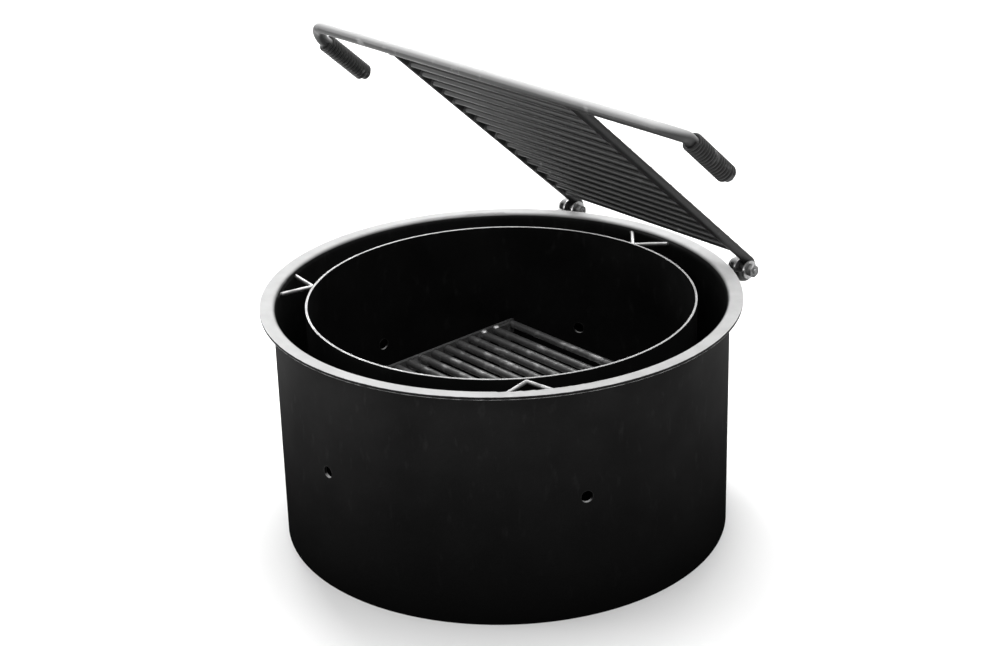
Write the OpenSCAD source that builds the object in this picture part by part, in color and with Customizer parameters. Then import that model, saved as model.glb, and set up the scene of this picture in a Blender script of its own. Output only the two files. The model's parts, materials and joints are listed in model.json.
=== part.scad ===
// Round double-walled fire ring with a raised fire grate and a hinged cooking grate.
// Millimetres, +Z up. The origin is on the ground at the centre of the ring,
// the hinge is at the back (+Y) and its axis runs along X.

/* [Shell] */
// Inside diameter of the outer shell
shell_id = 711.2; // [600:0.1:900]
// Thickness of the outer shell's steel
shell_t = 4.8; // [3:0.1:8]
// Height from the ground to the top of the flange
shell_h = 388; // [300:1:500]
// Width of the flange, from the shell's inner face to its outer edge
flange_w = 25.4; // [18:0.1:40]
// Outside radius of the bend between the wall and the flange
bend_r = 9; // [8.5:0.5:14]

/* [Liner] */
// Air gap between the shell and the liner
air_gap = 46; // [30:1:70]
// Thickness of the liner's steel
liner_t = 3.2; // [2:0.1:6]
// How far the liner's top edge lies under the top of the flange
liner_drop = 6; // [2:0.5:20]

/* [Air holes] */
// Diameter of the holes through both walls
hole_d = 19; // [10:0.5:30]
// Height of the holes' centres above the ground
hole_z = 203; // [60:1:230]
// Number of holes in each wall
hole_count = 5; // [1:1:5]
// Angle from one hole to the next, counted from the front
hole_step = 67.5; // [30:0.5:72]

/* [Spacers] */
// Diameter of the spacer rods
spacer_d = 6.4; // [4:0.1:10]
// Width of a spacer's open end, along the shell
spacer_spread = 78; // [50:1:110]
// Places of the spacers round the ring, from +X
spacer_angles = [92.5, 215, -35.5];

/* [Hinge] */
// Diameter of the hinge bolts
bolt_d = 12; // [8:0.5:16]
// Radial clearance of the bolts in their holes and eyes
bolt_clear = 0.05; // [0.02:0.01:0.1]
// Across the flats of the bolt heads and nuts
hex_af = 19; // [18:0.5:36]
// Thickness of the bolt heads
head_t = 8; // [6:0.5:14]
// Thickness of the nuts
nut_t = 10; // [8:0.5:18]
// How far the bolts stand out of the nuts
bolt_stub = 4; // [1:0.5:10]
// Thickness of the washers
washer_t = 3; // [1.5:0.5:5]
// Outside diameter of the washers
washer_od = 30; // [26:0.5:44]
// Thickness of the hinge lugs
lug_t = 8; // [5:0.5:14]
// Steel round the bolt hole in a lug
lug_rim = 9.5; // [6:0.5:14]
// Height of a lug where it is welded to the shell
lug_h = 58; // [40:1:90]
// Gap between an eye and the washers at its sides
eye_side_gap = 0.3; // [0.2:0.05:1]
// Gap between a turning eye and the edge of the flange
eye_edge_gap = 1; // [1:0.1:10]
// How far round the bolt an eye is bent
eye_angle = 230; // [190:1:260]

/* [Cooking grate] */
// Distance between the centres of the two rails
rail_spacing = 398; // [360:1:500]
// Diameter of the rails
rail_d = 16; // [12:0.5:20]
// Diameter of the cross bars
bar_d = 12.7; // [8:0.1:14]
// Number of cross bars
bar_count = 16; // [4:1:20]
// Distance from one cross bar to the next
bar_pitch = 30; // [20:0.1:40]
// Distance from the hinge axis to the nearest cross bar
bar_hinge_gap = 43; // [36:0.1:80]
// Distance from the handle to the nearest cross bar
bar_handle_gap = 44.4; // [25:0.1:80]
// Height of the cross bars' centres over the rails' centres
bar_lift = 1.2; // [0:0.1:1.5]
// Angle that the grate stands open, from lying on the flange
open_angle = 42.2; // [0:0.1:170]

/* [Handle] */
// Diameter of the handle rod
handle_d = 19; // [17:0.5:26]
// Radius of the bends at the ends of the handle, at the rod's centre
handle_bend_r = 28; // [20:1:45]
// How far each end bend is turned out of the grate's plane, left down and right up
bend_twist = 16.5; // [0:0.5:25]
// Gap between the side of the flange and the centre of a grip
grip_side_gap = 22; // [18:1:60]
// Gap between the closed handle and the flange under it
rest_gap = 0.5; // [0.3:0.1:2]
// Diameter of the spring wire
wire_d = 6; // [4:0.5:8]
// Number of turns of each grip spring
spring_turns = 15; // [8:1:22]
// Distance from one turn to the next
spring_pitch = 6.7; // [6:0.1:10]
// Bare rod past each end of a spring
grip_end = 4; // [1:0.5:20]

/* [Fire grate] */
// Height of the top of the fire grate above the ground
fire_top = 216; // [150:1:260]
// Gap between the grate's corners and the liner
fire_corner_gap = 9.3; // [3:0.1:30]
// Diameter of the fire bars
fire_bar_d = 12.7; // [8:0.1:16]
// Number of fire bars
fire_bar_count = 15; // [5:1:17]
// Distance from each outermost bar to the next
fire_edge_gap = 38; // [30:0.5:60]
// Thickness of the side frames
frame_t = 6; // [4:0.5:10]
// Height of the side frames
frame_h = 25; // [16:0.5:40]
// Width of the legs
leg_w = 22; // [10:0.5:24]

/* [Hidden] */
$fn = 96;
shell_ir = shell_id / 2;
shell_or = shell_ir + shell_t;
flange_r = shell_ir + flange_w;
liner_or = shell_ir - air_gap;
liner_ir = liner_or - liner_t;
liner_top = shell_h - liner_drop;
hole_angles = [for (i = [0 : hole_count - 1]) -90 + i * hole_step];

rail_x = rail_spacing / 2;
eye_ir = bolt_d / 2 + bolt_clear;
eye_r = eye_ir + rail_d / 2;
eye_or = eye_ir + rail_d;
// The hinge axis is just outside the flange, and low enough to close the handle on it.
hinge_y = sqrt(pow(flange_r, 2) - pow(rail_x - rail_d / 2, 2)) + eye_or + eye_edge_gap;
hinge_z = shell_h + rest_gap + handle_d / 2 - eye_r;
grate_reach = bar_hinge_gap + (bar_count - 1) * bar_pitch + bar_handle_gap;
lug_r = bolt_d / 2 + lug_rim;
lug_cope = bend_r - shell_t + 2;
// Distances along the bolt, from the rail's centre.
washer_in = rail_d / 2 + eye_side_gap;
washer_out = washer_in + washer_t;
lug_back = washer_out + lug_t;

grip_x = flange_r + grip_side_gap;
grip_y = handle_bend_r * (cos(bend_twist) + sin(bend_twist)) - grate_reach;
grip_rise = handle_bend_r * (1 + sin(bend_twist) - cos(bend_twist));
spring_len = spring_turns * spring_pitch + wire_d;
grip_leg = spring_len + 2 * grip_end;
coil_r = handle_d / 2 + wire_d / 2;
coil_steps = 14;
coil_sides = 6;

fire_half = (liner_ir - fire_corner_gap) / sqrt(2);
frame_x = fire_half - frame_t;
fire_edge_y = fire_half - fire_bar_d / 2;
fire_inner_y = fire_edge_y - fire_edge_gap;
fire_step = 2 * fire_inner_y / (fire_bar_count - 3);
fire_ys = concat([fire_edge_y], [for (i = [0 : fire_bar_count - 3]) fire_inner_y - i * fire_step],
                 [-fire_edge_y]);
leg_y = (fire_edge_y + fire_inner_y) / 2;
through = 2;

black_paint = [0.07, 0.07, 0.075];
dark_steel = [0.2, 0.2, 0.2];
bare_steel = [0.62, 0.62, 0.6];

SIDES = [["left", -1], ["right", 1]];
SPACERS = ["rear", "left", "right"];
LEGS = [["rear_left", -1, 1], ["rear_right", 1, 1], ["front_left", -1, -1], ["front_right", 1, -1]];
function numbered(name, i) = str(name, "_", i < 10 ? "0" : "", i);

// ---- Helpers ----

// Puts a piece, drawn along +Z, along +X.
module along_x() rotate([0, 90, 0]) children();

// A piece of the cooking grate, drawn closed with the hinge axis as its X axis.
module swung() {
    translate([0, hinge_y, hinge_z]) rotate([-open_angle, 0, 0]) children();
}

// A rod along X between two x positions.
module rod_x(d, x0, x1) translate([x0, 0, 0]) along_x() cylinder(d = d, h = x1 - x0);

// A rod along Y between two y positions.
module rod_y(d, y0, y1) translate([0, y1, 0]) rotate([90, 0, 0]) cylinder(d = d, h = y1 - y0);

// The holes that let air through both walls.
module air_holes(r) {
    for (a = hole_angles)
        rotate([0, 0, a]) translate([r, 0, hole_z]) along_x() cylinder(d = hole_d, h = 4 * shell_t, center = true);
}

// ---- Ring ----

// Half section of the shell: wall, bend and flange, at a constant thickness.
module shell_section() {
    translate([shell_ir, 0]) square([shell_t, shell_h - bend_r]);
    translate([shell_ir + bend_r, shell_h - shell_t]) square([flange_w - bend_r, shell_t]);
    translate([shell_ir + bend_r, shell_h - bend_r]) intersection() {
        difference() {
            circle(r = bend_r);
            circle(r = bend_r - shell_t);
        }
        translate([-bend_r, 0]) square(bend_r);
    }
}

module outer_shell() {
    color(black_paint) difference() {
        rotate_extrude($fn = 180) shell_section();
        air_holes(shell_ir);
    }
}

module inner_liner() {
    color(black_paint) difference() {
        cylinder(r = liner_or, h = liner_top, $fn = 180);
        translate([0, 0, -through]) cylinder(r = liner_ir, h = liner_top + 2 * through, $fn = 180);
        air_holes(liner_ir);
    }
}

// A bent rod: its point is on the liner and its two ends are on the shell.
module spacer_rod(a) {
    tip = [liner_or + spacer_d / 2 - 1, 0];
    foot = [sqrt(pow(shell_ir, 2) - pow(spacer_spread / 2, 2)), spacer_spread / 2];
    leg = foot - tip;
    color(bare_steel) rotate([0, 0, a]) translate([0, 0, liner_top - spacer_d / 2 - 1]) difference() {
        intersection() {
            union() {
                translate(tip) sphere(d = spacer_d, $fn = 32);
                for (s = [-1, 1])
                    translate(tip) rotate([0, 0, s * atan2(leg[1], leg[0])])
                        rod_x(spacer_d, 0, norm(leg) + spacer_d);
            }
            cylinder(r = shell_ir, h = 2 * spacer_d, center = true, $fn = 180);
        }
        cylinder(r = liner_or, h = 2 * spacer_d, center = true, $fn = 180);
    }
}

// ---- Hinges ----

// A lug's arm, seen along X: it runs in under the flange and meets the rounded end.
module lug_arm() {
    under = shell_h - shell_t;
    wall_end = [shell_or - lug_h / 2, under - lug_h];
    polygon([
        [0, under],
        [hinge_y, under],
        [hinge_y + 0.5 * lug_r, hinge_z - 0.82 * lug_r],
        wall_end,
        [0, under - lug_h]
    ]);
}

// What a lug leaves free: the shell, and a coped corner under the bend.
module lug_cut() {
    under = shell_h - shell_t;
    cylinder(r = shell_or, h = shell_h, $fn = 180);
    rotate_extrude($fn = 180) polygon([
        [shell_or - 1, under - lug_cope],
        [shell_or, under - lug_cope],
        [shell_or + lug_cope, under],
        [shell_or + lug_cope, under + 0.01],
        [shell_or - 1, under + 0.01]
    ]);
}

module hinge_lug(side) {
    color(black_paint) difference() {
        translate([side * rail_x - lug_back, 0, 0]) {
            rotate([90, 0, 90]) linear_extrude(lug_t) lug_arm();
            translate([0, hinge_y, hinge_z]) along_x() cylinder(r = lug_r, h = lug_t);
        }
        lug_cut();
        translate([side * rail_x - lug_back - 1, hinge_y, hinge_z]) along_x()
            cylinder(r = bolt_d / 2 + bolt_clear, h = lug_t + 2);
    }
}

// Puts a piece on the hinge axis, at the centre of a rail's eye.
module on_axis(side) translate([side * rail_x, hinge_y, hinge_z]) children();

module hinge_bolt(side) {
    color(dark_steel) on_axis(side) {
        rod_x(bolt_d, -lug_back, washer_out + nut_t + bolt_stub);
        translate([-lug_back - head_t, 0, 0]) along_x() cylinder(d = hex_af / cos(30), h = head_t, $fn = 6);
    }
}

module hinge_washers(side) {
    color(bare_steel) on_axis(side) for (x = [-washer_out, washer_in]) translate([x, 0, 0]) along_x() difference() {
        cylinder(d = washer_od, h = washer_t);
        translate([0, 0, -1]) cylinder(r = bolt_d / 2 + bolt_clear, h = washer_t + 2);
    }
}

module hinge_nut(side) {
    color(dark_steel) on_axis(side) translate([washer_out, 0, 0]) along_x() difference() {
        cylinder(d = hex_af / cos(30), h = nut_t, $fn = 6);
        translate([0, 0, -1]) cylinder(d = bolt_d, h = nut_t + 2);
    }
}

// ---- Cooking grate ----

// The handle's straight stretch, which the rails are coped to.
module handle_straight() {
    translate([0, -grate_reach, eye_r]) rod_x(handle_d, -grip_x + handle_bend_r, grip_x - handle_bend_r);
}

// A rail: one rod whose end is bent round the hinge bolt as an open eye.
module grate_rail(side) {
    color(dark_steel) swung() difference() {
        translate([side * rail_x, 0, 0]) {
            translate([0, 0, eye_r]) rod_y(rail_d, -grate_reach, 0);
            rotate([90, 0, 90]) rotate([0, 0, 90])
                rotate_extrude(angle = -eye_angle) translate([eye_r, 0]) circle(d = rail_d, $fn = 48);
        }
        handle_straight();
    }
}

// A cross bar, coped to the rails at both ends. Bar 1 is next to the handle.
module cross_bar(i) {
    y = -grate_reach + bar_handle_gap + (i - 1) * bar_pitch;
    color(dark_steel) swung() difference() {
        translate([0, y, eye_r + bar_lift]) rod_x(bar_d, -rail_x + 3, rail_x - 3);
        for (side = [-1, 1]) translate([side * rail_x, 0, eye_r]) rod_y(rail_d, y - bar_d, y + bar_d);
    }
}

// An arc of the handle rod about +Z, with its centre at the origin.
module handle_arc(angle) {
    rotate_extrude(angle = angle) translate([handle_bend_r, 0]) circle(d = handle_d, $fn = 48);
}

// One rod, bent back at both ends. The end bends are turned out of the grate's plane and then
// bent level again, so the left grip lies a little below that plane and the right one above it.
module handle_bar() {
    color(dark_steel) swung() {
        handle_straight();
        for (side = [-1, 1]) {
            translate([side * (grip_x - handle_bend_r), -grate_reach, eye_r]) rotate([side * bend_twist, 0, 0]) {
                translate([0, handle_bend_r, 0]) rotate([0, 0, side < 0 ? 180 : -90]) handle_arc(90);
                translate([side * handle_bend_r, handle_bend_r, -side * handle_bend_r])
                    rotate([90, 0, 90]) rotate([0, 0, side * 90]) handle_arc(-side * bend_twist);
            }
            translate([side * grip_x, 0, eye_r + side * grip_rise]) rod_y(handle_d, grip_y, grip_y + grip_leg);
        }
    }
}

// Rings of points round the coiled wire's centre line, which runs along +Z.
function coil_point(k, j) =
    let (a = 360 * k / coil_steps, b = 360 * j / coil_sides, r = coil_r + wire_d / 2 * cos(b))
    [r * cos(a), r * sin(a), spring_pitch * k / coil_steps + wire_d / 2 * (1 + sin(b))];

module grip_spring(side) {
    rings = spring_turns * coil_steps;
    last = rings * coil_sides;
    points = [for (k = [0 : rings]) for (j = [0 : coil_sides - 1]) coil_point(k, j)];
    walls = [for (k = [0 : rings - 1]) for (j = [0 : coil_sides - 1])
        let (a = k * coil_sides + j, b = k * coil_sides + (j + 1) % coil_sides)
        each [[a, b, b + coil_sides], [a, b + coil_sides, a + coil_sides]]];
    caps = [[for (j = [coil_sides - 1 : -1 : 0]) j], [for (j = [0 : coil_sides - 1]) last + j]];
    color(dark_steel) swung()
        translate([side * grip_x, grip_y + grip_end, eye_r + side * grip_rise]) rotate([-90, 0, 0])
            polyhedron(points, concat(walls, caps));
}

// ---- Fire grate ----

module fire_bar(i) {
    color(dark_steel) translate([0, fire_ys[i - 1], fire_top - fire_bar_d / 2]) rod_x(fire_bar_d, -frame_x, frame_x);
}

module fire_frame(side) {
    color(dark_steel) translate([side < 0 ? -fire_half : frame_x, -fire_half, fire_top - frame_h])
        cube([frame_t, 2 * fire_half, frame_h]);
}

// A flat leg on the inner face of a side frame, between the last two bars.
module fire_leg(side, end) {
    color(dark_steel) translate([side < 0 ? -frame_x : frame_x - frame_t, end * leg_y - leg_w / 2, 0])
        cube([frame_t, leg_w, fire_top - 2]);
}

// ---- The pieces ----

outer_shell();
inner_liner();
for (i = [0 : len(SPACERS) - 1])
    spacer_rod(spacer_angles[i]);
for (s = SIDES) {
    hinge_lug(s[1]);
    hinge_bolt(s[1]);
    hinge_washers(s[1]);
    hinge_nut(s[1]);
    grate_rail(s[1]);
    grip_spring(s[1]);
    fire_frame(s[1]);
}
for (i = [1 : bar_count])
    cross_bar(i);
handle_bar();
for (i = [1 : fire_bar_count])
    fire_bar(i);
for (l = LEGS)
    fire_leg(l[1], l[2]);
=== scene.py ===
# %% [markdown]
# # A round fire ring with a hinged cooking grate
# The grill is a rolled steel ring with a second wall inside it, a raised fire grate, and a cooking
# grate that swings on two bolts. Its shapes and sizes already exist as a fixed frame of solids.
# This notebook gives every one of them a finish, and models the details that a frame leaves out:
# coiled wire grips, chamfered bolts and nuts with threads, and the weld beads that hold it together.

# %% Load the frame
import json
import math
import bpy
from mathutils import Matrix, Quaternion, Vector


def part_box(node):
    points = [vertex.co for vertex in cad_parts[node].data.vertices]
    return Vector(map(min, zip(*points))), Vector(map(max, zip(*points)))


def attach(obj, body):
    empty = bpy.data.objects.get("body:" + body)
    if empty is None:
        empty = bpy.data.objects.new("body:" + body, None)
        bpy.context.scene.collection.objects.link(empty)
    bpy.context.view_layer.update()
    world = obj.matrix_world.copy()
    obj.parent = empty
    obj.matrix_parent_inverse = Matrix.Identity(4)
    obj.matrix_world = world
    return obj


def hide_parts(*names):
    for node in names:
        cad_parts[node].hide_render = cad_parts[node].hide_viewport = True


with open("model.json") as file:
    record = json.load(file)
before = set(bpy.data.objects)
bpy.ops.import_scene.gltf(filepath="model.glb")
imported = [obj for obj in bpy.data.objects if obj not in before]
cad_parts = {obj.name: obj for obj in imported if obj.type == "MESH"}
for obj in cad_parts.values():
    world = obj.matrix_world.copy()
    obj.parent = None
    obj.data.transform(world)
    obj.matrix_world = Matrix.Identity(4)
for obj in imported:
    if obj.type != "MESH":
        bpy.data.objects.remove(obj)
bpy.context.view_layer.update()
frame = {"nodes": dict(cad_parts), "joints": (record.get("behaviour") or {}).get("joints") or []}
nodes = frame["nodes"]

# %% [markdown]
# ## The camera
# A camera is easiest to place by three facts: where it stands, what it looks at, and how long its
# lens is. `to_track_quat` turns the line of sight into a rotation. The last turn about that line is
# the roll, here the degree and a half by which the camera was not quite level.

# %% Camera
MM = 0.001
CAMERA_AT = Vector((2.2713, -2.0222, 1.6630))
LOOKS_AT = Vector((-0.0020, -0.0022, 0.3363))
LENS = 75.04
ROLL = math.radians(-1.594)

lens = bpy.data.cameras.new("camera")
lens.lens = LENS
lens.sensor_width = 36
camera = bpy.data.objects.new("camera", lens)
bpy.context.collection.objects.link(camera)
camera.location = CAMERA_AT
camera.rotation_mode = "QUATERNION"
sight = (LOOKS_AT - CAMERA_AT).to_track_quat("-Z", "Y")
camera.rotation_quaternion = sight @ Quaternion((0, 0, 1), ROLL)
bpy.context.scene.camera = camera
print("the camera is", round((LOOKS_AT - CAMERA_AT).length, 2), "m from the grill")

# %% [markdown]
# ## The studio
# Black paint has almost no colour of its own, so what it shows is the room that it reflects. A very
# wide soft light overhead lights the floor, and a low one behind the grill is mirrored by the level
# faces: that draws the flange, the liner's edge and the spacers as bright lines on black. A smaller
# key light adds contrast. Round bars only mirror lights that stand where their length points, so the
# two grates have a light each, on the far left. The view transform is Standard: black stays black.

# %% Floor and lights
scene = bpy.context.scene
scene.view_settings.view_transform = "Standard"


def soft_light(name, location, target, size, power):
    """A rectangular area light that faces a point."""
    light = bpy.data.lights.new(name, "AREA")
    light.shape = "RECTANGLE"
    light.size, light.size_y = size
    light.energy = power
    lamp = bpy.data.objects.new(name, light)
    scene.collection.objects.link(lamp)
    lamp.location = location
    lamp.rotation_euler = (Vector(target) - Vector(location)).to_track_quat("-Z", "Y").to_euler()
    return lamp


away = Vector((LOOKS_AT.x - CAMERA_AT.x, LOOKS_AT.y - CAMERA_AT.y, 0)).normalized()
rim_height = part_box("outer_shell")[1].z
fall = math.radians(23)
BACK_DISTANCE = 3.0
back_at = away * BACK_DISTANCE + Vector((0, 0, rim_height + BACK_DISTANCE * math.tan(fall)))
soft_light("back_light", back_at, (0, 0, rim_height), (3.4, 1.3), 80)
soft_light("top_light", (0, 0, 5), (0, 0, 0), (13, 13), 790)
soft_light("key_light", (0, 0.5, 3.2), (0, 0, 0.3), (1.3, 1.3), 26)
soft_light("bar_light", (-2.76, 1.0, 2.9), (0, 0, 0.2), (1.0, 1.0), 42)
soft_light("grate_light", (-2.76, -2.84, 0.85), (0, -0.1, 0.6), (1.6, 0.5), 46)
print("five lights, the back one", round(back_at.z, 2), "m high")

world = bpy.data.worlds.new("studio")
scene.world = world
world.use_nodes = True
world.node_tree.nodes["Background"].inputs["Color"].default_value = (1, 1, 1, 1)
world.node_tree.nodes["Background"].inputs["Strength"].default_value = 0.18

bpy.ops.object.select_all(action="DESELECT")
bpy.ops.mesh.primitive_plane_add(size=40)
floor = bpy.context.object
floor.name = "floor"

# %% [markdown]
# ## Shader sums as Python sums
# A procedural finish is mostly arithmetic on patterns: a little noise times a mask, plus a base.
# Wiring each Math node by hand hides that arithmetic. The small class below wraps a shader socket,
# so that `0.3 + 0.1 * noise` adds the nodes by itself. `Finish` holds one material and its
# Principled shader, and its `add` method makes any other node.

# %% Sockets that can be added and multiplied


class Value:
    """A number that varies over a surface."""

    def __init__(self, finish, socket):
        self.finish, self.socket = finish, socket

    def sum(self, operation, a, b):
        return self.finish.add("ShaderNodeMath", {"operation": operation}, {0: a, 1: b})

    def __add__(self, other):
        return self.sum("ADD", self, other)

    def __sub__(self, other):
        return self.sum("SUBTRACT", self, other)

    def __rsub__(self, other):
        return self.sum("SUBTRACT", other, self)

    def __mul__(self, other):
        return self.sum("MULTIPLY", self, other)

    __radd__ = __add__
    __rmul__ = __mul__


class Finish:
    """One material: patterns go in, and `paint` sends them to its Principled shader."""

    def __init__(self, name, **fixed):
        self.material = bpy.data.materials.new(name)
        self.material.use_nodes = True
        self.tree = self.material.node_tree
        self.shader = self.tree.nodes["Principled BSDF"]
        for socket, value in fixed.items():
            self.shader.inputs[socket.replace("_", " ")].default_value = value
        self.place = self.add("ShaderNodeTexCoord", output="Object")

    def add(self, kind, settings={}, inputs={}, output=0):
        """Any node: its settings, then its sockets' values or links."""
        node = self.tree.nodes.new(kind)
        for key, value in settings.items():
            if key == "stops":
                node.color_ramp.elements[0].position, node.color_ramp.elements[1].position = value
            else:
                setattr(node, key, value)
        for key, value in inputs.items():
            if isinstance(value, Value):
                self.tree.links.new(value.socket, node.inputs[key])
            else:
                node.inputs[key].default_value = value
        return Value(self, node.outputs[output])

    def ramp(self, value, low, high):
        """0 below low, 1 above high, and even between them."""
        return self.add("ShaderNodeValToRGB", {"stops": (low, high)}, {0: value})

    def noise(self, scale, detail=3.0, stretch=(1, 1, 1)):
        """Soft noise: scale is the number of lumps in a metre, stretch packs them along an axis."""
        inputs = {"Vector": self.place, "Scale": stretch}
        moved = self.add("ShaderNodeMapping", {}, inputs)
        return self.add("ShaderNodeTexNoise", {}, {"Vector": moved, "Scale": scale, "Detail": detail})

    def cells(self, scale):
        """Round cells, such as pits: scale is the number of cells in a metre."""
        return self.add("ShaderNodeTexVoronoi", {}, {"Vector": self.place, "Scale": scale}, "Distance")

    def edges(self, radius):
        """1 on outer edges and corners, 0 on flat and inner faces."""
        rounded = self.add("ShaderNodeBevel", {"samples": 6}, {"Radius": radius})
        true = self.add("ShaderNodeNewGeometry", output="Normal")
        dot = {"operation": "DOT_PRODUCT"}
        turn = self.add("ShaderNodeVectorMath", dot, {0: rounded, 1: true}, "Value")
        return self.ramp(1 - turn, 0.004, 0.12)

    def along(self, axis):
        """The position along X, Y or Z in metres."""
        return self.add("ShaderNodeSeparateXYZ", {}, {0: self.place}, axis)

    def facing_up(self, low=0.55, high=0.95):
        """1 on level faces, 0 on upright ones."""
        normal = self.add("ShaderNodeNewGeometry", output="Normal")
        up = self.add("ShaderNodeSeparateXYZ", {}, {0: normal}, "Z")
        return self.ramp(up, low, high)

    def mix(self, share, a, b):
        """Colour a where share is 0 and colour b where it is 1."""
        kind = {"data_type": "RGBA"}
        return self.add("ShaderNodeMix", kind, {0: share, 6: a, 7: b}, 2)

    def link(self, socket, value):
        """Sends a pattern to one socket of the shader."""
        self.tree.links.new(value.socket, self.shader.inputs[socket])

    def paint(self, colour=None, roughness=None, metallic=None, height=None, depth=0.0002):
        """Links the patterns to the shader. Height goes through a Bump node, depth in metres."""
        links = {"Base Color": colour, "Roughness": roughness, "Metallic": metallic}
        if height is not None:
            bump = {"Height": height, "Distance": depth, "Strength": 1.0}
            links["Normal"] = self.add("ShaderNodeBump", {}, bump)
        for socket, value in links.items():
            if isinstance(value, Value):
                self.link(socket, value)
            elif value is not None:
                self.shader.inputs[socket].default_value = value
        return self.material


def grey(level):
    """A neutral colour."""
    return (level, level, level, 1)


print("a finish is made of patterns, and patterns add up")

# %% [markdown]
# ## Heat-proof black paint
# The ring and the liner are sprayed with a black stove paint. Seen close it has orange peel, a faint
# mottle where the coat is thinner, a paler grey on level faces that is dust and painted light from
# above, and bare grey steel where tools and pans have rubbed the corners. The colour also darkens
# towards the ground, which is painted shade, and the liner's rim is painted brighter at the front,
# which is a painted highlight. The liner is sooty inside, so it is the darker one.

# %% Paints
RIM_WEAR_FROM = 0.012
RIM_WEAR_FULL = 0.006


def stove_paint(name, black, gloss, dust_and_top_light_grey, bare, rim, front_highlight_share):
    """Black paint with orange peel, thin spots, dust and painted light on level faces, and rubbed
    edges.

    The sheen and the wear are strongest at the rim, and fade towards the ground; the colour darkens
    towards the ground too, as painted shade. The last argument is the share of the rim's bright bare
    edge that is found only at the front: a painted highlight on the side towards the lights, on top of
    the real wear."""
    finish = Finish(name, Specular_IOR_Level=0.0, Coat_Roughness=gloss, Coat_IOR=1.45)
    high = finish.ramp(finish.along("Z"), 0.0, rim)
    at_rim = finish.ramp(finish.along("Z"), rim - RIM_WEAR_FROM, rim - RIM_WEAR_FULL)
    # This mask is 1 on the front, -Y side, where the rim's bare edge is painted brighter: a painted
    # highlight.
    front = finish.ramp(0.5 - finish.along("Y"), 0.1, 0.9)
    mottle = finish.noise(9, 5)
    peel = finish.noise(420, 2)
    thin = finish.ramp(finish.noise(70, 6, (1, 1, 0.4)), 0.60, 0.80)
    wear = finish.ramp(finish.noise(70, 5), 0.30, 0.60)
    # Bare steel on rubbed edges and at the rim is wear; the extra share found only at the front is a
    # painted highlight.
    wear_and_front_highlight = finish.edges(0.0016) * wear * (0.12 + at_rim * (1 - front_highlight_share + front_highlight_share * front))
    # Level faces are painted a paler grey: partly dust, partly painted light from above.
    dust_and_top_light = finish.facing_up() * (0.70 + 0.40 * finish.noise(26, 6))
    # The mottle fades out towards the ground, so the paint's colour darkens there: painted shade.
    coat = finish.mix(mottle * high, grey(black * 0.4), grey(black * 2.4))
    coat = finish.mix(dust_and_top_light, coat, grey(dust_and_top_light_grey))
    coat = finish.mix(thin * high * 0.05, coat, grey(0.20))
    colour = finish.mix(wear_and_front_highlight, coat, grey(bare))
    finish.link("Coat Weight", 0.01 + 0.13 * (high * high) * (0.7 + 0.6 * mottle))
    roughness = gloss + 0.10 * mottle + 0.08 * thin + 0.06 * dust_and_top_light
    return finish.paint(colour, roughness, 0.75 * wear_and_front_highlight, peel + 0.6 * mottle, 0.00022)


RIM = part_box("outer_shell")[1].z
LINER_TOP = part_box("inner_liner")[1].z
# The last number is how much of the rim's bright edge is painted only at the front: a painted
# highlight, strong on the liner.
shell_paint = stove_paint("shell_paint", 0.007, 0.38, 0.42, 0.40, RIM, 0.1)
liner_paint = stove_paint("liner_paint", 0.005, 0.34, 0.40, 0.60, LINER_TOP, 0.75)
print("two coats of paint")

# %% [markdown]
# ## Rods, bars and bolts
# The grates are hot-rolled rod. Rolling leaves a dark, satin skin of mill scale, which rubs through to
# brighter steel on the high sides. One function makes all these steels, with the colour of the skin,
# the colour under it, the share that has rubbed through, the direction of the scratches, how metallic
# the skin is, and how much painted light from above makes the faces that look up paler.

# %% Steels


def rolled_steel(name, skin, under, rubbed, gloss, metal=0.25, grain=(0.06, 1, 1), painted_top_light=0.0):
    """Steel with a skin of mill scale, fine lines along its grain, pits, and brighter rubbed places."""
    finish = Finish(name, Specular_IOR_Level=0.32)
    scale = finish.noise(34, 6)
    lines = finish.noise(900, 3, grain)
    pits = finish.ramp(finish.cells(260), 0.05, 0.22)
    high = finish.edges(0.0012)
    bright = finish.ramp(scale + 0.16 * lines, 1.04 - rubbed, 1.16 - rubbed) + 0.7 * high
    colour = finish.mix(bright, finish.mix(lines, grey(skin * 0.72), grey(skin * 1.3)), grey(under))
    # Faces that look up are painted pale grey: a painted highlight of the light from above.
    painted_top_light_share = finish.facing_up(0.05, 0.75) * painted_top_light
    colour = finish.mix(painted_top_light_share, colour, grey(0.50))
    roughness = gloss + 0.16 * scale + 0.05 * lines + 0.2 * painted_top_light_share
    height = 0.5 * scale + 0.22 * lines + 0.3 * pits
    metallic = (metal + (0.95 - metal) * bright) * (1 - painted_top_light_share)
    return finish.paint(colour, roughness, metallic, height, 0.00016)


EVEN = (1, 1, 1)
grate_steel = rolled_steel("grate_steel", 0.016, 0.14, 0.30, 0.30, 0.15)
# The handle rod's top is painted paler: a painted highlight from above.
handle_steel = rolled_steel("handle_steel", 0.050, 0.20, 0.36, 0.32, 0.25, painted_top_light=0.75)
spring_steel = rolled_steel("spring_steel", 0.018, 0.16, 0.34, 0.30, 0.15, EVEN)
fire_steel = rolled_steel("fire_steel", 0.080, 0.26, 0.42, 0.30, 0.4)
bare_steel = rolled_steel("bare_steel", 0.24, 0.40, 0.55, 0.30, 0.6, EVEN)
bolt_steel = rolled_steel("bolt_steel", 0.05, 0.26, 0.45, 0.30, 0.4, EVEN)
weld_steel = rolled_steel("weld_steel", 0.045, 0.24, 0.40, 0.38, 0.3, EVEN)
fresh_steel = rolled_steel("fresh_steel", 0.55, 0.75, 0.60, 0.30, 0.6, EVEN)
print("eight steels")

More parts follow.
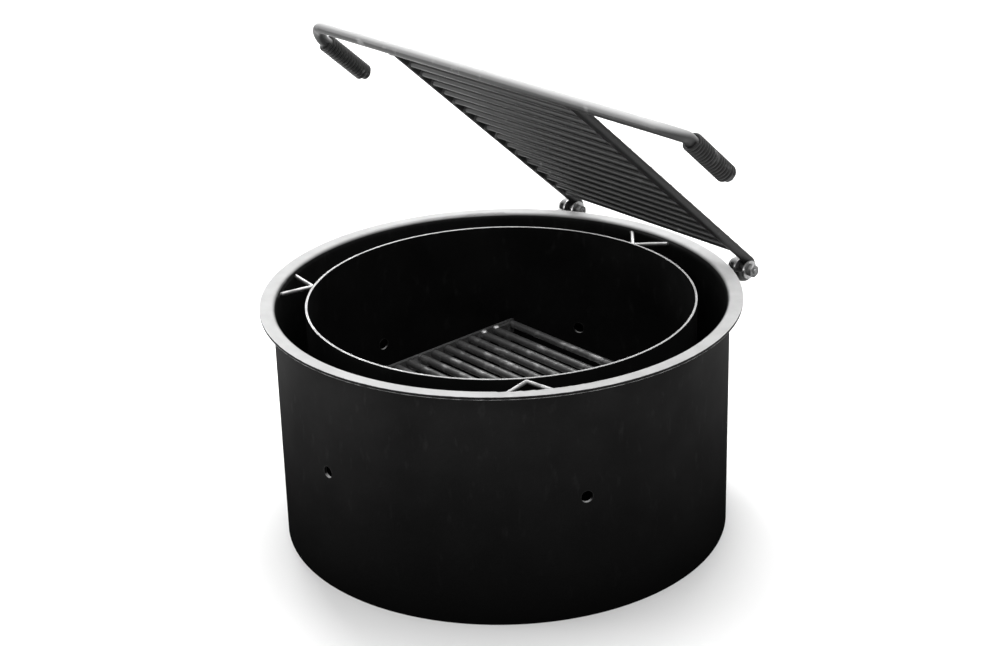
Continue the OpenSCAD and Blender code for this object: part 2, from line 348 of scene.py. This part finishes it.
# %% [markdown]
# ## Finishing the frame
# The solids of the frame already have the right shapes, so they stay as they are and only get a better
# material. Each slot of the frame names its finish, so a table from slot to material does all of them
# but the handle rod, whose top is painted paler than the rest of the grate: a painted highlight from
# above.

# %% Materials on the frame's solids
FINISHES = {
    "shell_paint": shell_paint,
    "liner_paint": liner_paint,
    "grate_steel": grate_steel,
    "spring_steel": spring_steel,
    "fire_steel": fire_steel,
    "bright_steel": bare_steel,
    "hardware": bolt_steel,
}
for node in nodes.values():
    for slot in node.material_slots:
        slot.material = FINISHES[slot.material.name.split(".")[0]]
nodes["handle_bar"].material_slots[0].material = handle_steel
print("finished", len(nodes), "solids")

backdrop = Finish("floor", Specular_IOR_Level=0.1)
floor.data.materials.append(backdrop.paint(grey(0.82), 0.85, None, backdrop.noise(60, 4), 0.0001))

# %% [markdown]
# ## Working with operators
# Operators act on whatever is selected, so every new piece starts from an empty selection. These
# helpers do what a hand does with a few clicks: add a shape, apply its place so that the object
# sits at the origin, pick faces by where they look, and apply a modifier.

# %% Helpers for pieces


def deselect():
    bpy.ops.object.select_all(action="DESELECT")


def only(piece):
    """Selects one piece and makes it the active one."""
    deselect()
    piece.select_set(True)
    bpy.context.view_layer.objects.active = piece


def settle(name=""):
    """Names the newest shape and applies its place, so its object is at the origin and unturned."""
    piece = bpy.context.object
    if name:
        piece.name = name
    bpy.ops.object.transform_apply(location=True, rotation=True, scale=True)
    return piece


def modify(piece, kind, **settings):
    """Adds a modifier, sets it and applies it."""
    only(piece)
    modifier = piece.modifiers.new(kind.title(), kind)
    for key, value in settings.items():
        setattr(modifier, key, value)
    bpy.ops.object.modifier_apply(modifier=modifier.name)
    return piece


def edit_faces(piece, wanted):
    """Opens edit mode with only the faces whose normal passes the test selected."""
    only(piece)
    bpy.context.tool_settings.mesh_select_mode = (False, False, True)
    for part in (piece.data.vertices, piece.data.edges, piece.data.polygons):
        for item in part:
            item.select = False
    for face in piece.data.polygons:
        face.select = wanted(face.normal)
    bpy.ops.object.mode_set(mode="EDIT")


def leave_edit(outwards=False):
    """Closes edit mode. Outwards also turns every normal to the outside."""
    if outwards:
        bpy.ops.mesh.select_all(action="SELECT")
        bpy.ops.mesh.normals_make_consistent(inside=False)
    bpy.ops.object.mode_set(mode="OBJECT")


def close_ends(piece):
    """Fills the open ends of a coil, and turns its normals to the outside."""
    only(piece)
    bpy.ops.object.mode_set(mode="EDIT")
    bpy.ops.mesh.select_all(action="SELECT")
    bpy.ops.mesh.fill_holes(sides=0)
    leave_edit(outwards=True)


def place(piece, matrix):
    """Moves and turns a piece, and applies that to its mesh."""
    only(piece)
    piece.matrix_world = matrix
    return settle()


def twin(piece, matrix):
    """A copy of a piece with its own mesh, at another place."""
    copy = piece.copy()
    copy.data = piece.data.copy()
    bpy.context.collection.objects.link(copy)
    return place(copy, matrix)


def join(pieces, name):
    """Joins pieces into one object with one name."""
    only(pieces[0])
    for piece in pieces[1:]:
        piece.select_set(True)
    bpy.ops.object.join()
    bpy.context.object.name = name
    return bpy.context.object


def clear(piece):
    """Deletes a helper shape that isn't part of the grill."""
    bpy.data.objects.remove(piece)


def complete(piece, body, material, sharp=35, stands_for=()):
    """Shades a piece, gives it its finish, and ties it to the body that it moves with."""
    only(piece)
    bpy.ops.object.shade_smooth_by_angle(angle=math.radians(sharp))
    piece.data.materials.clear()
    piece.data.materials.append(material)
    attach(piece, body)
    if stands_for:
        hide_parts(*stands_for)
    print(piece.name, "has", len(piece.data.polygons), "faces")
    return piece


# %% [markdown]
# ## Modelling the grate flat
# The cooking grate stands open, which makes every one of its pieces slanted. They are much easier
# to model lying flat, as if the grate were shut, and then swung open all at once. The hinge of the
# frame says where the axis is and how far the grate is open: that is one matrix.

# %% The swing of the cooking grate
hinge = next(joint for joint in frame["joints"] if joint["name"] == "cooking_grate_hinge")
AXIS = Vector(hinge["pos_m"])
OPEN = math.radians(hinge["range_deg"][0])
SWING = Matrix.Translation(AXIS) @ Matrix.Rotation(OPEN, 4, "X") @ Matrix.Translation(-AXIS)
TO_FLAT = SWING.inverted()


def flat_box(node):
    """The corners of a grate solid's box as if the grate were shut."""
    points = [TO_FLAT @ vertex.co for vertex in nodes[node].data.vertices]
    low = Vector(min(point[i] for point in points) for i in range(3))
    high = Vector(max(point[i] for point in points) for i in range(3))
    return low, high


def middle(box):
    return (box[0] + box[1]) / 2


print("the grate is open by", round(-math.degrees(OPEN), 1), "degrees")

# %% [markdown]
# ## The coiled grips
# Each grip is a spring of round wire pushed onto the handle rod. It stays cool because the coil
# touches the hot rod only along a thin line. A ring of points turned by a Screw modifier gives the
# coil: the modifier spins the ring about an axis and moves it on by one pitch each turn.

# %% Grip springs
WIRE = 6.0 * MM
TURNS = 15
COIL_STEPS = 28


def grip_spring(side):
    low, high = flat_box("grip_spring_" + side)
    centre = middle((low, high))
    coil = (high.x - low.x) / 2 - WIRE / 2
    pitch = (high.y - low.y - WIRE) / TURNS
    deselect()
    bpy.ops.mesh.primitive_circle_add(vertices=12, radius=WIRE / 2, location=(coil, 0, 0))
    piece = settle("coiled_grip_" + side)
    modify(piece, "SCREW", axis="Y", angle=math.tau, screw_offset=pitch, iterations=TURNS,
           steps=COIL_STEPS, render_steps=COIL_STEPS, use_merge_vertices=False)
    close_ends(piece)
    start = Vector((centre.x, low.y + WIRE / 2, centre.z))
    place(piece, SWING @ Matrix.Translation(start))
    complete(piece, "cooking_grate", spring_steel, 60, ["grip_spring_" + side])


for side in ("left", "right"):
    grip_spring(side)

# %% [markdown]
# ## Hinge bolts and nuts
# A real hexagon head isn't a plain prism: its corners are cut by a cone, which leaves a round face
# inside the hexagon. That is made the way a lathe makes it. A round blank gets its chamfer by an
# inset face that is pushed out, and a Boolean keeps what the blank and the prism share. The thread
# is a small triangle wound along the stub by a Screw modifier.

# %% Hexagon heads, nuts and threads
ALONG_X = (0, math.pi / 2, 0)
SHANK = 6.0 * MM
THREAD_PITCH = 1.75 * MM
THREAD_DEPTH = 0.9 * MM


def rod_along_x(name, radius, start, end, chamfer, corners=48):
    """A round bar from start to end along X, with a chamfer on each end."""
    deselect()
    bpy.ops.mesh.primitive_cylinder_add(
        vertices=corners, radius=radius, depth=end - start, location=((start + end) / 2, 0, 0),
        rotation=ALONG_X)
    piece = settle(name)
    if chamfer:
        modify(piece, "BEVEL", width=chamfer, segments=2, limit_method="ANGLE",
               angle_limit=math.radians(60))
    return piece


def hexagon(name, start, end, flats, chamfered):
    """A hexagon bar along X, with its corners turned off at the ends that chamfered names."""
    corner = flats / math.sqrt(3)
    inset = corner - 0.475 * flats
    push = inset * math.tan(math.radians(30))
    inner_start = start + push * (-1 in chamfered)
    inner_end = end - push * (1 in chamfered)
    blank = rod_along_x("blank", corner, inner_start, inner_end, 0, 64)
    for direction in chamfered:
        edit_faces(blank, lambda normal: normal.x * direction > 0.9)
        bpy.ops.mesh.inset(thickness=inset)
        bpy.ops.transform.translate(value=(direction * push, 0, 0))
        leave_edit()
    prism = rod_along_x(name, corner, start - MM, end + MM, 0, 6)
    place(prism, Matrix.Rotation(math.radians(30), 4, "X"))
    modify(prism, "BOOLEAN", operation="INTERSECT", object=blank, solver="EXACT")
    clear(blank)
    return modify(prism, "BEVEL", width=0.25 * MM, segments=2, limit_method="ANGLE",
                  angle_limit=math.radians(25))


def thread(name, radius, start, end):
    """A triangular ridge wound along X, whose ends are closed."""
    deselect()
    bpy.ops.mesh.primitive_circle_add(
        vertices=3, radius=THREAD_DEPTH, location=(0, radius - THREAD_DEPTH, 0))
    ridge = settle(name)
    turns = int((end - start) / THREAD_PITCH)
    modify(ridge, "SCREW", axis="X", angle=math.tau, screw_offset=THREAD_PITCH, iterations=turns,
           steps=24, render_steps=24, use_merge_vertices=False)
    close_ends(ridge)
    return place(ridge, Matrix.Translation((start, 0, 0)))


def hinge_bolt(side):
    bolt, nut, lug = (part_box(part + side) for part in ("hinge_bolt_", "hinge_nut_", "hinge_lug_"))
    centre = middle(nut)
    flats = nut[1].y - nut[0].y
    start, end = bolt[0].x - centre.x, bolt[1].x - centre.x
    under_head = lug[0].x - centre.x
    face = nut[1].x - centre.x
    head = hexagon("bolt_head", start, under_head, flats, (-1,))
    core = rod_along_x("core", SHANK - THREAD_DEPTH, under_head, end, 0.6 * MM)
    plain = rod_along_x("plain", SHANK, under_head, face - 2 * MM, 0)
    ridge = thread("thread", SHANK, face - 2 * MM, end - 0.9 * MM)
    piece = join([head, core, plain, ridge], "hinge_screw_" + side)
    place(piece, Matrix.Translation(centre))
    complete(piece, "ring", bolt_steel, 30, ["hinge_bolt_" + side])
    body = hexagon("hinge_nut_body_" + side, nut[0].x - centre.x, face, flats, (-1, 1))
    bore = rod_along_x("bore", SHANK, -20 * MM, 20 * MM, 0)
    modify(body, "BOOLEAN", operation="DIFFERENCE", object=bore, solver="EXACT")
    clear(bore)
    place(body, Matrix.Translation(centre))
    complete(body, "ring", bolt_steel, 30, ["hinge_nut_" + side])


for side in ("left", "right"):
    hinge_bolt(side)

# %% [markdown]
# ## Weld beads
# Everything here is welded, and the welds are what tells a fabricated grill from a drawing of one.
# Two kinds of bead do all of it. A fillet ring runs round the end of a rod, and follows the curve
# of the round rod that it meets. A stacked bead is a row of overlapping drops, as a welder lays
# them. Both get a little unevenness from a Displace modifier, so that no two are alike.

# %% Beads
unevenness = bpy.data.textures.new("weld_unevenness", "CLOUDS")
unevenness.noise_scale = 3.5 * MM


def roughen(piece, amount):
    """Pushes a bead's surface in and out a little, by noise that depends on the place."""
    return modify(piece, "DISPLACE", texture=unevenness, strength=amount, mid_level=0.5)


def fillet_ring(rod, bead, across=None, lift=0.0):
    """A bead round a rod that ends on the -X side of another rod whose axis runs along Y."""
    deselect()
    bpy.ops.mesh.primitive_torus_add(
        major_segments=24, minor_segments=8, major_radius=rod + 0.25 * bead, minor_radius=bead,
        rotation=ALONG_X)
    ring = settle("fillet")
    if across:
        for vertex in ring.data.vertices:
            height = min(abs(vertex.co.z + lift), 0.96 * across)
            vertex.co.x -= math.sqrt(across ** 2 - height ** 2)
    return ring


def drops(name, start, end, size, step):
    """Overlapping drops from start to end. Size is the half width across, out and along the bead."""
    start, end = Vector(start), Vector(end)
    count = max(2, round((end - start).length / step) + 1)
    deselect()
    bpy.ops.mesh.primitive_ico_sphere_add(subdivisions=2, radius=1.0, scale=size)
    drop = settle(name)
    modify(drop, "ARRAY", count=count, use_relative_offset=False, use_constant_offset=True,
           constant_offset_displace=(0, 0, (end - start).length / (count - 1)))
    turn = Vector((0, 0, 1)).rotation_difference(end - start).to_matrix().to_4x4()
    return place(drop, Matrix.Translation(start) @ turn)


print("two kinds of bead")

# %% [markdown]
# ### Beads on the cooking grate
# Every cross bar is welded to both rails, and both rails to the handle.

# %% Cooking grate welds
BEAD = 1.7 * MM
rails = {side: flat_box("grate_rail_" + side) for side in ("left", "right")}
rail_radius = (rails["right"][1].x - rails["right"][0].x) / 2
handle = flat_box("handle_bar")
bars = [flat_box(name) for name in sorted(nodes) if name.startswith("cross_bar_")]
bar_radius = (bars[0][1].z - bars[0][0].z) / 2
rail_z = rails["right"][1].z - rail_radius
lift = middle(bars[0]).z - rail_z
pattern = fillet_ring(bar_radius, BEAD, rail_radius, lift)
half_turn = Matrix.Rotation(math.pi, 4, "Z")
beads = []
for bar in bars:
    centre = middle(bar)
    for side, turn in (("right", Matrix()), ("left", half_turn)):
        at = Matrix.Translation((middle(rails[side]).x, centre.y, centre.z))
        beads.append(twin(pattern, at @ turn))
clear(pattern)
welds = roughen(join(beads, "cooking_grate_welds"), 1.1 * MM)
place(welds, SWING)
complete(welds, "cooking_grate", weld_steel, 60)

HANDLE_RADIUS = 9.5 * MM
pattern = fillet_ring(rail_radius, 2.2 * MM, HANDLE_RADIUS)
quarter_turn = Matrix.Rotation(-math.pi / 2, 4, "Z")
handle_y = handle[0].y + HANDLE_RADIUS
beads = [twin(pattern, Matrix.Translation((middle(rails[side]).x, handle_y, rail_z)) @ quarter_turn)
         for side in rails]
clear(pattern)
welds = roughen(join(beads, "handle_welds"), 1.3 * MM)
place(welds, SWING)
complete(welds, "cooking_grate", weld_steel, 60)

# %% [markdown]
# ### Beads on the fire grate
# The bars end on the flat side frames, so their beads are plain rings. Two of them have a bright,
# freshly welded drop on top. The legs are flat bar, tacked down both edges.

# %% Fire grate welds
fire_bars = [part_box(name) for name in sorted(nodes) if name.startswith("fire_bar_")]
fire_radius = (fire_bars[0][1].z - fire_bars[0][0].z) / 2
pattern = fillet_ring(fire_radius, BEAD)
beads, fresh = [], []
for bar in fire_bars:
    centre = middle(bar)
    for x in (bar[0].x, bar[1].x):
        beads.append(twin(pattern, Matrix.Translation((x, centre.y, centre.z))))
clear(pattern)
for bar in fire_bars[1:3]:
    deselect()
    bpy.ops.mesh.primitive_ico_sphere_add(
        subdivisions=3, radius=1.0, scale=(6 * MM, 5.5 * MM, 3.2 * MM))
    drop = settle("fresh_drop")
    fresh.append(place(drop, Matrix.Translation((bar[0].x + 3 * MM, middle(bar).y, bar[1].z - MM))))
frame_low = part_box("fire_frame_right")[0].z
for name in sorted(nodes):
    if name.startswith("fire_leg_"):
        low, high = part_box(name)
        x = high.x if "right" in name else low.x
        for y in (low.y, high.y):
            beads.append(drops("tack", (x, y, frame_low + 2 * MM), (x, y, high.z - 3 * MM),
                               (1.8 * MM, 1.8 * MM, 2 * MM), 2.2 * MM))
welds = roughen(join(beads, "fire_grate_welds"), 1.1 * MM)
complete(welds, "fire_grate", weld_steel, 60)
welds = roughen(join(fresh, "fresh_welds"), 1.6 * MM)
complete(welds, "fire_grate", fresh_steel, 60)

# %% [markdown]
# ### Beads on the ring
# The lugs are welded down both faces where they meet the shell, and the spacer rods are tacked at
# the point and at both ends. A rolled ring also has one upright seam where its ends were joined:
# here it is at the back, between the lugs, and the liner's is inside, at the front.

# %% Ring welds
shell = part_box("outer_shell")
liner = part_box("inner_liner")
SHELL_WALL = 4.8 * MM
FLANGE = 25.4 * MM
LINER_WALL = 3.2 * MM
shell_radius = shell[1].x - FLANGE + SHELL_WALL
liner_inside = liner[1].x - LINER_WALL
COPE = 10 * MM
beads = []
for side in ("left", "right"):
    low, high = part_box("hinge_lug_" + side)
    for x in (low.x, high.x):
        y = math.sqrt(shell_radius ** 2 - x ** 2)
        beads.append(drops("bead", (x, y, low.z + 2 * MM), (x, y, shell[1].z - SHELL_WALL - COPE),
                           (2.6 * MM, 2.6 * MM, 2.4 * MM), 2.6 * MM))
welds = roughen(join(beads, "lug_welds"), 1.3 * MM)
complete(welds, "ring", shell_paint, 60)

beads = []
for side in ("rear", "left", "right"):
    rod = nodes["spacer_rod_" + side].data.vertices
    around = math.atan2(sum(v.co.y for v in rod), sum(v.co.x for v in rod))
    turned = [Matrix.Rotation(-around, 3, "Z") @ v.co for v in rod]
    level = sum(v.z for v in turned) / len(turned)
    reach = max(v.xy.length for v in turned)
    spread = max(v.y for v in turned) - 3.2 * MM
    feet = [Vector((math.sqrt(reach ** 2 - spread ** 2), s * spread, level)) for s in (-1, 1)]
    for spot in feet + [Vector((liner[1].x + 1.5 * MM, 0, level))]:
        deselect()
        bpy.ops.mesh.primitive_ico_sphere_add(
            subdivisions=3, radius=1.0, scale=(2.8 * MM, 4.6 * MM, 3.4 * MM))
        bead = settle("tack")
        beads.append(place(bead, Matrix.Rotation(around, 4, "Z") @ Matrix.Translation(spot)))
welds = roughen(join(beads, "spacer_welds"), 1.6 * MM)
complete(welds, "ring", weld_steel, 60)

seam = drops("shell_seam", (0, shell_radius, 4 * MM), (0, shell_radius, shell[1].z - SHELL_WALL - COPE),
             (3.6 * MM, 0.9 * MM, 2.4 * MM), 2.4 * MM)
complete(roughen(seam, 0.5 * MM), "ring", shell_paint, 60)
LINER_SEAM = math.radians(-60)
at = (liner_inside * math.cos(LINER_SEAM), liner_inside * math.sin(LINER_SEAM))
seam = drops("liner_seam", (0, 0, 4 * MM), (0, 0, liner[1].z - 4 * MM),
             (0.8 * MM, 3.2 * MM, 2.4 * MM), 2.4 * MM)
place(seam, Matrix.Translation((at[0], at[1], 0)) @ Matrix.Rotation(LINER_SEAM, 4, "Z"))
complete(roughen(seam, 0.5 * MM), "ring", liner_paint, 60)
